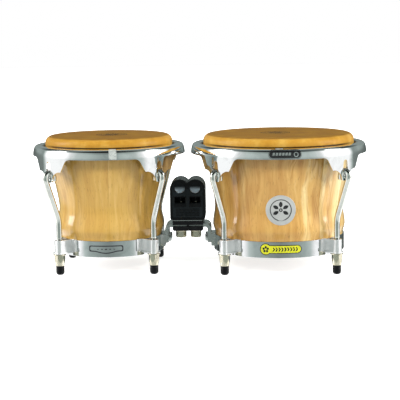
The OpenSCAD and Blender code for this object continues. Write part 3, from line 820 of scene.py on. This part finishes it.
def shelf_rings(r, rod_x, z0, z1):
    """A D-shaped plate with a round hole, as rings round the rod."""
    count = 72
    root = r + 0.8
    front, half, corner, hole = rod_x + LUG_HALF + 1.2, LUG_HALF + 1.2, 4.0, 4.5

    def outline(a):
        c, s = math.cos(a), math.sin(a)
        reach = 1e9
        if c < -1e-9:
            reach = min(reach, (root - rod_x) / c)
        if c > 1e-9:
            reach = min(reach, (front - rod_x) / c)
        if abs(s) > 1e-9:
            reach = min(reach, half / abs(s))
        x, y = reach * c, reach * s
        # Round off the two front corners
        cx, cy = front - rod_x - corner, half - corner
        if x > cx and abs(y) > cy:
            sy = math.copysign(cy, y)
            b = -(c * cx + s * sy)
            k = cx * cx + sy * sy - corner * corner
            reach = -b + math.sqrt(max(b * b - k, 0))
        return reach

    corners = [math.atan2(half, root - rod_x), -math.atan2(half, root - rod_x)]
    angles = sorted([FULL * k / count - math.pi for k in range(count)] + corners)

    def ring(inset, z):
        return [(rod_x + (outline(a) - inset) * math.cos(a), (outline(a) - inset) * math.sin(a), z)
                for a in angles]

    def bore(grow, z):
        return [(rod_x + (hole + grow) * math.cos(a), (hole + grow) * math.sin(a), z) for a in angles]

    b = 0.35
    return [ring(b, z0), ring(0.1, z0 + 0.1), ring(0, z0 + b), ring(0, z1 - b), ring(0.1, z1 - 0.1),
            ring(b, z1), bore(b, z1), bore(0, z1 - b), bore(0, z0 + b), bore(b, z0)]


for drum in DRUMS:
    r = drum.foot_r + BAND_T
    weld_turn = (LUG_HALF + LUG_FLANGE * 0.62) / r
    mid = (lug_z0 + SHELF_T + lug_z1) / 2
    height = lug_z1 - lug_z0 - SHELF_T + 0.4
    for corner, azimuth in CORNERS.items():
        shape = Shape()
        rings = strap_rings(lug_path(r, drum.rod_x), mid - 0.2, height)
        shape.loft_at(drum, azimuth, rings, caps=True)
        shape.loft_at(drum, azimuth, shelf_rings(r, drum.rod_x, lug_z0, lug_z0 + SHELF_T), wrap=True)
        # Spot welds on the flanges
        for side in (1, -1):
            for z in (mid - 4.6, mid + 4.6):
                dot = []
                for ring_r, lift in ((1.5, -0.2), (1.5, 0.02), (1.1, 0.22), (0.5, 0.3)):
                    on_flange = [(side * weld_turn + s / r, z + up) for s, up in circle(ring_r, 16)]
                    rr = r + LUG_T + lift
                    dot.append([(rr * math.cos(a), rr * math.sin(a), h) for a, h in on_flange])
                shape.loft_at(drum, azimuth, dot, caps=True)
        shape.piece(f"{drum.name}_tuning_lug_{corner}", "frame", lug_chrome,
                    [f"{drum.name}_lug_{corner}"], sharp=40, weighted=True)


# ---- Washers ----

for drum in DRUMS:
    shape = Shape()
    for azimuth in CORNERS.values():
        cx = drum.x + drum.rod_x * math.cos(azimuth * DEG)
        cy = drum.rod_x * math.sin(azimuth * DEG)
        b = 0.35
        profile = (arc(8.8 - b, washer_z0 + b, b, -90, 0, 3) + arc(8.8 - b, washer_z1 - b, b, 0, 90, 3)
                   + [(4.5 + b, washer_z1), (4.5, washer_z1 - b), (4.5, washer_z0 + b), (4.5 + b, washer_z0)])
        spin(shape, cx, cy, profile, 64, wrap=True)
    shape.piece(f"{drum.name}_rod_washers", "frame", zinc, [f"{drum.name}_washers"], weighted=True)


# ---- Tuning rods ----

ROD_R = 4.0
ROD_SIDES = 24
THREAD_LOW = 9.0
THREAD_TOP = 50.0
THREAD_DEPTH = 0.62
PITCH = 1.25
ROWS_PER_TURN = 6
HOOK_R = 6.5


def rod_path(drum):
    """Straight up, out at 20 degrees, upright again, then over in a hook: (r, z, normal angle)."""
    low_x, high_x = drum.rod_x, drum.r + SKIRT + HOOK_R
    lean, bend_r, neck_r, neck_z, hook_z = 20.0, 45.0, 12.0, 129.4, 132.4
    corner_z = neck_z - (high_x - low_x) / math.tan(lean * DEG)
    turn = math.tan(lean / 2 * DEG)
    bends = [(low_x + bend_r, corner_z - bend_r * turn, bend_r, 180, 180 - lean, 10, -180),
             (high_x - neck_r, neck_z + neck_r * turn, neck_r, -lean, 0, 8, 0),
             (high_x - HOOK_R, hook_z, HOOK_R, 0, 180, 24, 0)]
    points = [(low_x, THREAD_TOP + 1.0, 0.0), (low_x, 60.0, 0.0)]
    for x, z, r, first, last, parts, normal in bends:
        for k, (px, pz) in enumerate(arc(x, z, r, first, last, parts)):
            points.append((px, pz, first + (last - first) * k / parts + normal))
    return points + [(high_x - 2 * HOOK_R, z, 180.0) for z in (129.5, 128.2)]


def thread_ring(x, z, fade):
    """One ring of the thread's ridge as it winds round the rod. fade is 0 where the thread runs out."""
    ring = []
    for i in range(ROD_SIDES):
        t = (z / PITCH - i / ROD_SIDES) % 1.0
        r = ROD_R - 0.04 - THREAD_DEPTH * abs(2 * t - 1) * fade
        ring.append((x + r * math.cos(FULL * i / ROD_SIDES), r * math.sin(FULL * i / ROD_SIDES), z))
    return ring


for drum in DRUMS:
    # The plain foot inside the cap, the thread, the bends, and the rounded tip of the hook
    rings = [at_height(circle(r, ROD_SIDES, drum.rod_x), z)
             for r, z in ((3.0, 2.5), (ROD_R, 3.5), (ROD_R, 8.0))]
    rows = int((THREAD_TOP - THREAD_LOW) / PITCH * ROWS_PER_TURN)
    for k in range(rows + 1):
        z = THREAD_LOW + (THREAD_TOP - THREAD_LOW) * k / rows
        rings.append(thread_ring(drum.rod_x, z, min(1.0, k / 8, (rows - k) / 8)))
    for x, z, a in rod_path(drum):
        c, s = math.cos(a * DEG), math.sin(a * DEG)
        rings.append([(x + u * c, v, z + u * s) for u, v in circle(ROD_R, ROD_SIDES)])
    tip_x = drum.r + SKIRT - HOOK_R
    for r, z in ((3.7, 127.5), (3.1, 127.1), (2.2, 127.0)):
        rings.append([(tip_x - u, v, z) for u, v in circle(r, ROD_SIDES)])
    for corner, azimuth in CORNERS.items():
        shape = Shape()
        shape.loft_at(drum, azimuth, rings, caps=True)
        shape.piece(f"{drum.name}_tuning_rod_{corner}", drum.crown_body, rod_chrome,
                    [f"{drum.name}_rod_{corner}"])


# ---- Nuts and caps ----

NUT_APOTHEM = 6.5
NUT_SIDES = 72


def hexagon(t, sharp=34):
    """Radius of the nut's hexagon, with slightly rounded corners, in direction t."""
    return NUT_APOTHEM * sum(abs(math.cos(t - k * math.pi / 3)) ** sharp for k in range(3)) ** (-1 / sharp)


def nut_limit(z):
    """The turned outside that cuts the hexagon down: slender at the foot, chamfered at the top."""
    taper = 5.75 + (8.32 - 5.75) * (z - nut_z0) / (nut_z1 - nut_z0)
    return min(taper, 6.55 + (nut_z1 - z) * 1.5)


def nut_rings(x0):
    """The outside from the foot up, then the bore from the top down."""
    rings = []
    levels = set([nut_z0 + 0.25, nut_z1 - 0.25] + [nut_z0 + (nut_z1 - nut_z0) * k / 14 for k in range(15)]
                 + [nut_z1 - 0.6, nut_z1 - 1.0, nut_z1 - 1.4, nut_z0 + 0.6, nut_z0 + 1.0, nut_z0 + 1.4])
    for z in sorted(levels):
        ring = []
        for i in range(NUT_SIDES):
            t = FULL * i / NUT_SIDES
            r = min(hexagon(t), nut_limit(z))
            ring.append((x0 + r * math.cos(t), r * math.sin(t), z))
        rings.append(ring)
    return rings + [at_height(circle(r, NUT_SIDES, x0), z) for r, z in (
        (4.9, nut_z1), (4.08, nut_z1 - 0.8), (4.08, nut_z0 + 0.8), (4.7, nut_z0))]


for drum in DRUMS:
    for corner, azimuth in CORNERS.items():
        shape = Shape()
        shape.loft_at(drum, azimuth, nut_rings(drum.rod_x), wrap=True)
        shape.piece(f"{drum.name}_tuning_nut_{corner}", f"{drum.name}_tuner_{corner}", zinc,
                    [f"{drum.name}_nut_{corner}"], sharp=35, weighted=True)

        cx = drum.x + drum.rod_x * math.cos(azimuth * DEG)
        cy = drum.rod_x * math.sin(azimuth * DEG)
        r = half_width(f"{drum.name}_cap_{corner}")
        profile = ([(0, 0), (1.0, 0)] + arc(2.0, r - 2.0, r - 2.0, -90, -4, 12) + [(r, 5.2), (r, 8.4)]
                   + [(r - 0.28, 8.7), (r - 0.28, 9.3), (r, 9.6)]
                   + arc(r - 0.8, cap_top - 0.8, 0.8, 0, 90, 4) + [(ROD_R + 0.5, cap_top)]
                   + arc(ROD_R + 0.5, cap_top - 0.5, 0.5, 90, 180, 3) + [(ROD_R, 4.0), (0, 4.0)])
        shape = Shape()
        spin(shape, cx, cy, profile, 48)
        shape.piece(f"{drum.name}_foot_cap_{corner}", drum.crown_body, rubber,
                    [f"{drum.name}_cap_{corner}"], sharp=50)


# ---- Badges ----

# Radius by which lengths round the large shell and the crowns are turned into angles
SHELL_BADGE_R = 89.0
CROWN_BADGE_OUT = 17


# Each of these gives a function that lays (sideways, height, lift) on the front of a surface
def on_band(drum):
    r0 = drum.foot_r + BAND_T

    def place(s, z, h):
        return around(drum.x, FRONT, [((r0 + h) * math.cos(s / r0), (r0 + h) * math.sin(s / r0), z)])[0]

    return place


def on_shell(drum):
    line = flank(drum)

    def place(s, z, h):
        for (r0, z0), (r1, z1) in zip(line, line[1:]):
            if z0 <= z <= z1:
                r = r0 + (r1 - r0) * (z - z0) / (z1 - z0)
                break
        a = s / SHELL_BADGE_R
        return around(drum.x, FRONT, [((r + h) * math.cos(a), (r + h) * math.sin(a), z)])[0]

    return place


def on_crown(drum, turn):
    line = skirt_rows(drum) + crown_line(drum)[::-1]
    line = [(r, z) for r, z in line if r > drum.r + 9]

    def place(s, z, h):
        for (r0, z0), (r1, z1) in zip(line, line[1:]):
            if z0 <= z <= z1 or (r1, z1) == line[-1]:
                size = math.hypot(r1 - r0, z1 - z0)
                nr, nz = (z1 - z0) / size, -(r1 - r0) / size
                t = (z - z0) / (z1 - z0)
                r = r0 + (r1 - r0) * t
                break
        lift = CROWN_T / 2 + h
        a = s / (drum.r + CROWN_BADGE_OUT)
        return around(drum.x, FRONT + turn, [((r + lift * nr) * math.cos(a), (r + lift * nr) * math.sin(a),
                                              z + lift * nz)])[0]

    return place


def stadium(length, height, n=14):
    r = height / 2
    return arc(length / 2 - r, 0, r, -90, 90, n) + arc(r - length / 2, 0, r, 90, 270, n)


def dense(points, step):
    """A closed outline with points added so that none are further apart than step."""
    out = []
    for a, b in zip(points, points[1:] + points[:1]):
        parts = max(1, math.ceil(math.dist(a, b) / step))
        out += [(a[0] + (b[0] - a[0]) * k / parts, a[1] + (b[1] - a[1]) * k / parts) for k in range(parts)]
    return out


def plate(shape, place, outline, centre, rise):
    """A plate on a surface. rise is a list of (share of the outline, lift) from the edge inwards."""
    rings = []
    for share, lift in rise:
        rings.append([place(centre[0] + x * share, centre[1] + y * share, lift) for x, y in outline])
    ids = shape.loft(rings)
    shape.fan(ids[-1], place(centre[0], centre[1], rise[-1][1]))
    shape.fan(ids[0][::-1], place(centre[0], centre[1], rise[0][1]))


def ribbon(shape, place, outer, inner, low, high):
    """A flat closed band between two outlines with the same number of points."""
    rings = [[place(x, z, low) for x, z in outer], [place(x, z, high) for x, z in outer],
             [place(x, z, high) for x, z in inner], [place(x, z, low) for x, z in inner]]
    shape.loft(rings, wrap=True)


def shifted(points, x, z, scale=1.0, turn=0.0):
    c, s = math.cos(turn * DEG) * scale, math.sin(turn * DEG) * scale
    return [(x + px * c - pz * s, z + px * s + pz * c) for px, pz in points]


def raised(shape, place, outline, low, high, tops=None):
    """A flat-topped mark on a surface. tops lists its top faces where one alone won't do."""
    foot = shape.ring([place(x, z, low) for x, z in outline])
    top = shape.ring([place(x, z, high) for x, z in outline])
    shape.bridge(foot, top)
    shape.faces += [[top[i] for i in face] for face in tops or [range(len(outline))]]


def rosette(shape, place, x, z, count, half, inner, length, parts, rise, step=None):
    """Petals round a centre. Each is 2 half wide and runs out from a radius over a length."""
    right = [(half * math.sin(math.pi * k / parts) ** 0.8, inner + length * k / parts)
             for k in range(parts + 1)]
    petal = right + [(-px, pz) for px, pz in right[-2:0:-1]]
    for k in range(count):
        outline = shifted(petal, x, z, 1.0, 360 / count * k)
        if step:
            outline = dense(outline, step)
        middle = [sum(c) / len(outline) for c in zip(*outline)]
        plate(shape, place, shifted(outline, -middle[0], -middle[1]), middle, rise)


def level_top(lift):
    """Rings inwards over the level top of a long badge."""
    return [(0.9 - 0.15 * k, lift) for k in range(6)]


badge_silver = brushed_material("BadgeSilver", (0.80, 0.80, 0.78, 1), large.x, 88.6)
badge_ink = enamel_material("BadgeInk", (0.008, 0.008, 0.009, 1))
badge_yellow = enamel_material("BadgeYellow", srgb(214, 214, 34), 0.3)
crown_silver = metal_material("RimBadgeSilver", (0.80, 0.81, 0.80, 1), 0.14, 0.1, 300.0)

# Round badge on the large shell, with a ring and a six-petal rosette
place = on_shell(large)
badge_z = sum(heights("shell_badge")) / 2
shape = Shape()
plate(shape, place, circle(half_width("shell_badge"), 72), (0, badge_z),
      [(1.0, 0.1), (1.0, 0.5), (0.985, 0.68), (0.965, 0.70), (0.94, 0.55), (0.92, 0.42), (0.9, 0.40)]
      + [(0.9 - 0.1 * k, 0.4) for k in range(1, 9)])
shape.piece("round_badge", "frame", badge_silver, ["shell_badge"], sharp=60)
shape = Shape()
rosette(shape, place, 0, badge_z, 6, 2.4, 3.4, 8.2, 12, [(1, 0.38), (1, 0.55), (0.9, 0.6)], 1.2)
ribbon(shape, place, circle(2.4, 36, 0, badge_z), circle(1.1, 36, 0, badge_z), 0.38, 0.6)
ribbon(shape, place, circle(14.4, 72, 0, badge_z), circle(13.3, 72, 0, badge_z), 0.38, 0.58)
shape.piece("round_badge_rosette", "frame", badge_ink, sharp=40)

# Long badge on the large band: dark edge, yellow field, a round boss and a row of chevrons
place = on_band(large)
badge_z = sum(heights("band_badge")) / 2
BOSS_X = -20.2
shape = Shape()
plate(shape, place, dense(stadium(55.4, 11.2), 2.0), (0, badge_z),
      [(1, 0.05), (1, 0.5), (0.99, 0.6)] + level_top(0.6))
plate(shape, place, circle(7.8, 48), (BOSS_X, badge_z),
      [(1, 0.05), (1, 0.6), (0.97, 0.7), (0.6, 0.7), (0.3, 0.7)])
shape.piece("long_badge_edge", "frame", badge_ink, ["band_badge"], sharp=50)
shape = Shape()
plate(shape, place, dense(stadium(53.4, 9.3), 2.0), (0, badge_z),
      [(1, 0.55), (0.995, 0.72)] + level_top(0.72))
plate(shape, place, circle(6.8, 48), (BOSS_X, badge_z), [(1, 0.6), (0.99, 0.8), (0.6, 0.8), (0.3, 0.8)])
shape.piece("long_badge_field", "frame", badge_yellow, sharp=50)
shape = Shape()
rosette(shape, place, BOSS_X, badge_z, 5, 1.5, 1.1, 3.6, 8, [(1, 0.78), (1, 0.88), (0.85, 0.9)])
chevron = [(-1.5, -2.6), (0.1, -2.6), (1.6, 0.0), (0.1, 2.6), (-1.5, 2.6), (0.0, 0.0)]
for k in range(9):
    raised(shape, place, shifted(chevron, -9.6 + 3.8 * k, badge_z), 0.7, 0.85, ((0, 1, 2, 5), (5, 2, 3, 4)))
shape.piece("long_badge_pattern", "frame", badge_ink, sharp=40)

# Domed badge on the large crown: dark field, silver rim, a row of bars and a ring
place = on_crown(large, 2.4)
badge_z = 164.4
shape = Shape()
plate(shape, place, dense(stadium(43.5, 10.6), 1.6), (0, badge_z),
      [(1, 0.06), (1, 0.35), (0.985, 0.45), (0.95, 0.45)] + level_top(0.45))
shape.piece("crown_badge_field", large.crown_body, badge_ink, ["crown_badge"], sharp=50)
shape = Shape()
outline = dense(stadium(42.7, 9.8), 1.6)
ribbon(shape, place, shifted(outline, 0, badge_z), [(x * 0.968, badge_z + z * 0.86) for x, z in outline],
       0.4, 0.72)
bar = [(-1.9, -1.7), (1.1, -1.7), (1.9, 1.7), (-1.1, 1.7)]
for k in range(6):
    raised(shape, place, shifted(bar, -14.6 + 4.1 * k, badge_z + 0.6), 0.4, 0.66)
ribbon(shape, place, circle(3.1, 36, 14.2, badge_z), circle(2.0, 36, 14.2, badge_z), 0.4, 0.66)
shape.piece("crown_badge_trim", large.crown_body, crown_silver, sharp=40)

# Engraved cartouche on the small band, left blank but for five lozenges
place = on_band(small)


def cartouche(grow):
    half, top, low, r = 22.6 + grow, 4.6 + grow, -2.2 - grow, 2.2
    belly = [(11, 1.0), (6, 2.2), (0, 2.8), (-6, 2.2), (-11, 1.0)]
    points = arc(half - r, top - r, r, 0, 90, 5) + arc(r - half, top - r, r, 90, 180, 5)
    points += arc(r - half, low + r, r, 180, 262, 5)
    points += [(-x, low - drop) for x, drop in [(14.5, 0.15)] + belly + [(-14.5, 0.15)]]
    points += arc(half - r, low + r, r, 278, 360, 5)
    return [(x, 35.2 + z) for x, z in points]


shape = Shape()
outer, inner = (resample(cartouche(grow) + cartouche(grow)[:1], 160)[:-1] for grow in (0.75, -0.65))
ribbon(shape, place, outer, inner, -0.1, 0.1)
lozenge = [(-1.6, 0), (0, -0.8), (1.6, 0), (0, 0.8)]
for x, size in ((-11, 0.8), (-5.5, 1.0), (0, 1.3), (5.5, 1.0), (11, 0.8)):
    raised(shape, place, shifted(lozenge, x, 35.6, size), -0.1, 0.1)
shape.piece("small_band_cartouche", "frame", blackened, sharp=40)


# ---- Ground-down weld seams on the crowns ----

# Across a seam: (sideways, lift)
SEAM = [(-5, -0.3), (-5, 0.02), (-4.6, 0.1), (-2, 0.12), (2, 0.12), (4.6, 0.1), (5, 0.02), (5, -0.3)]

for drum, turn, name in ((small, 8.2, "small_crown_seam"), (large, -1.2, "large_crown_seam")):
    line = skirt_rows(drum)[1:] + crown_line(drum)[:1:-1]
    shape = Shape()
    rings = []
    for (r, z), (nr, nz) in zip(line, outwards(line)):
        ring = []
        for s, lift in SEAM:
            d = CROWN_T / 2 + lift
            azimuth = (FRONT + turn) * DEG + s / (drum.r + SKIRT)
            out = r + d * nr
            ring.append((drum.x + out * math.cos(azimuth), out * math.sin(azimuth), z + d * nz))
        rings.append(ring)
    shape.loft(rings, caps=True)
    shape.piece(name, drum.crown_body, ground, sharp=50)


# ---- Centre block and bridge: the frame's own solids, with softened edges ----

for node, material, width, segments in (
        ("centre_block", moulded, 0.7, 3), ("upper_pad", rubber, 0.5, 3), ("lower_pad", rubber, 0.5, 3),
        ("clamp_plate", steel, 0.2, 2), ("bridge_strap", steel, 0.7, 3),
        ("small_saddle", steel, 0.5, 2), ("large_saddle", steel, 0.5, 2),
        ("bridge_screws", steel, 0.3, 2), ("bridge_nuts", zinc, 0.3, 2),
        ("block_bolts", zinc, 0.4, 2), ("block_washers", zinc, 0.3, 2), ("block_nuts", blackened, 0.3, 2)):
    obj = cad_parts[node]
    obj.data.materials.clear()
    obj.data.materials.append(material)
    obj.modifiers.new("Weld", "WELD").merge_threshold = 1e-6
    flat = obj.modifiers.new("Flat", "DECIMATE")
    flat.decimate_type = "DISSOLVE"
    flat.angle_limit = 1.0 * DEG
    bevel(obj, width, segments, 32).harden_normals = True


# ---- Floor, camera and light ----

floor = bpy.data.meshes.new("studio_floor")
bm = bmesh.new()
bmesh.ops.create_grid(bm, x_segments=24, y_segments=24, size=9.0)
bm.to_mesh(floor)
bm.free()
floor_object = bpy.data.objects.new("studio_floor", floor)
floor_object.location = (0, 0, -0.0003)
bpy.context.scene.collection.objects.link(floor_object)
n = material_nodes("StudioFloor")
paper = n.mix(n.noise(n.place(), 3.0), grey(0.93), grey(0.95))
x, y, _ = n.axes(n.place())
seen = n.value("LightPath", "Is Camera Ray")
n.set(Base_Color=n.mix(seen, grey(0.40), paper), Emission_Color=grey(1))
n.set(Roughness=0.9, Specular_IOR_Level=0.0)
n.set(Emission_Strength=seen * n.between(n.length(x, y), 0.25, 0.8, 0.74, 1.0))
floor.materials.append(n.owner)
floor_object.visible_glossy = False

YAW, PITCH_DOWN, ROLL = 1.8215 * DEG, 7.7654 * DEG, 0.8310 * DEG
CAMERA_MM = (54.99, -1731.65, 327.27)
level = Vector((math.cos(YAW), math.sin(YAW), 0))
ahead = Vector((-math.sin(YAW), math.cos(YAW), 0))
forward = ahead * math.cos(PITCH_DOWN) - Vector((0, 0, math.sin(PITCH_DOWN)))
upright = level.cross(forward)
side = level * math.cos(ROLL) - upright * math.sin(ROLL)
up = level * math.sin(ROLL) + upright * math.cos(ROLL)
camera_data = bpy.data.cameras.new("Camera")
camera_data.sensor_width = 36.0
camera_data.lens = 113.62
camera_data.clip_end = 50.0
camera = bpy.data.objects.new("Camera", camera_data)
bpy.context.scene.collection.objects.link(camera)
turn = Matrix((side, up, -forward)).transposed()
camera.matrix_world = Matrix.Translation(Vector(CAMERA_MM) * MM) @ turn.to_4x4()
bpy.context.scene.camera = camera

world = bpy.data.worlds.new("Studio")
bpy.context.scene.world = world
n = Nodes(world, "Background")
x, y, z = n.axes(n.add("TexCoord").outputs["Generated"])
azimuth = n.math("ARCTAN2", x, y * -1.0) / DEG
elevation = n.math("ARCSINE", z) / DEG
bearing = abs(azimuth)
# Around the horizon: grey in front, bright walls at the sides, dark behind. (bearing, strength)
HORIZON = ((0, 0.36), (12, 0.42), (30, 0.55), (44, 0.60), (55, 0.82), (66, 1.5), (102, 1.5), (112, 0.34),
           (150, 0.20), (180, 0.17))
horizon = n.ramp(bearing / 180.0, [(at / 180, grey(v / 2)) for at, v in HORIZON])
high_wall = n.between(elevation, 22.0, 38.0, 2.0, n.between(bearing, 30.0, 90.0, 0.10, 0.40))
glare = high_wall * n.between(elevation, -5.0, 9.0, 0.72, 1.0) * horizon
# Below: a pale table with the room's dark floor right in front of it
dark_floor = n.between(bearing, 7.0, 12.0, 1.0, 0.0) * n.between(elevation, -38.0, -34.0, 1.0, 0.0)
table = dark_floor * -0.7 + 0.8
glare += n.between(elevation, -24.0, -13.0, 1.0, 0.0) * (table - glare)
# Strips of light at the sides, and their shine on the table
strips = n.window(azimuth, -99.0, -79.0, 1.0) + n.window(azimuth, 77.0, 92.0, 1.0)
glare += strips * n.window(elevation, 4.0, 46.0, 2.0) * 6.0
shine = n.window(azimuth, -150.0, -77.0, 1.0) + n.window(azimuth, 75.0, 150.0, 1.0)
glare += shine * n.window(elevation, -62.0, -14.0, 4.0) * 0.9
# A faint glow low on the far wall, seen in faces that lie flat
glare += n.between(bearing, 112.0, 130.0) * n.window(elevation, 3.0, 24.0, 3.0) * 0.12
# Soft light overhead and behind
glare += n.between(y * 0.643 + z * 0.766, 0.91, 0.96) * 0.5
seen = n.value("LightPath", "Is Camera Ray")
tint = n.mix(n.between(glare, 0.4, 1.0), (0.86, 1.0, 0.95, 1), grey(1))
n.set(Color=n.mix(seen, tint, grey(1)), Strength=seen * n.math("SUBTRACT", 1.0, glare) + glare)
world.cycles.sampling_method = "MANUAL"
world.cycles.sample_map_resolution = 1024


def softbox(name, place, target, width, height, power):
    """A large soft lamp. It fills the shade without showing in the chrome, where the studio's walls show."""
    data = bpy.data.lights.new(name, "AREA")
    data.shape = "RECTANGLE"
    data.size, data.size_y = width, height
    data.energy = power
    lamp = bpy.data.objects.new(name, data)
    lamp.location = place
    lamp.rotation_euler = (Vector(target) - Vector(place)).to_track_quat("-Z", "Y").to_euler()
    lamp.visible_camera = False
    lamp.visible_glossy = False
    bpy.context.scene.collection.objects.link(lamp)


softbox("KeyLeft", (-1.5, -2.0, 1.6), (0, 0, 0.1), 0.5, 0.4, 23.0)
softbox("KeyRight", (1.5, -2.0, 1.6), (0, 0, 0.1), 0.5, 0.4, 26.0)
softbox("SideLeft", (-2.1, -0.7, 0.9), (0, 0, 0.1), 0.8, 0.8, 25.0)
softbox("SideRight", (2.1, -0.7, 0.9), (0, 0, 0.1), 0.8, 0.8, 31.0)
softbox("Front", (0.5, -2.6, 0.5), (0, 0, 0.1), 1.2, 0.5, 7.0)
softbox("Top", (0.0, 0.5, 2.3), (0, 0, 0), 2.6, 2.2, 8.0)

scene = bpy.context.scene
scene.view_settings.view_transform = "Standard"
scene.view_settings.look = "None"

bpy.context.view_layer.update()
